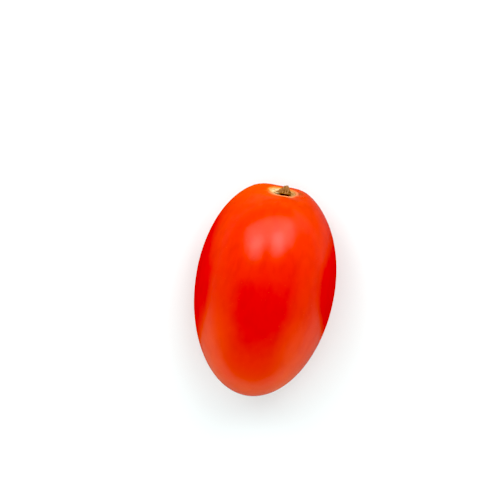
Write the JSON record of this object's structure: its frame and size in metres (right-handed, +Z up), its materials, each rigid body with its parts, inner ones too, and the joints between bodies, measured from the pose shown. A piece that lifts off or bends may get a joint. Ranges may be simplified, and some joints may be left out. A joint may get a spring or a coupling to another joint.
{
  "type": "plum tomato",
  "caption": "Ripe red plum tomato lying on its side, egg-shaped with a flattened stem end, a corky stem scar and the dry stub of its stalk.",
  "frame": {"origin": "middle of the bounding box's underside, on the surface that the fruit lies on", "axes": "+Y along the fruit's long axis towards its stem end, +Z up, +X to its right flank seen from above with the stem end away"},
  "size_m": [0.044, 0.0702, 0.0437],
  "materials": {
    "skin": "smooth waxy gloss, ripe red",
    "dry_stalk": "dry, fibrous and matt, brown"
  },
  "bodies": {
    "root": {"fruit": "skin", "stem_stub": "dry_stalk"}
  },
  "joints": []
}
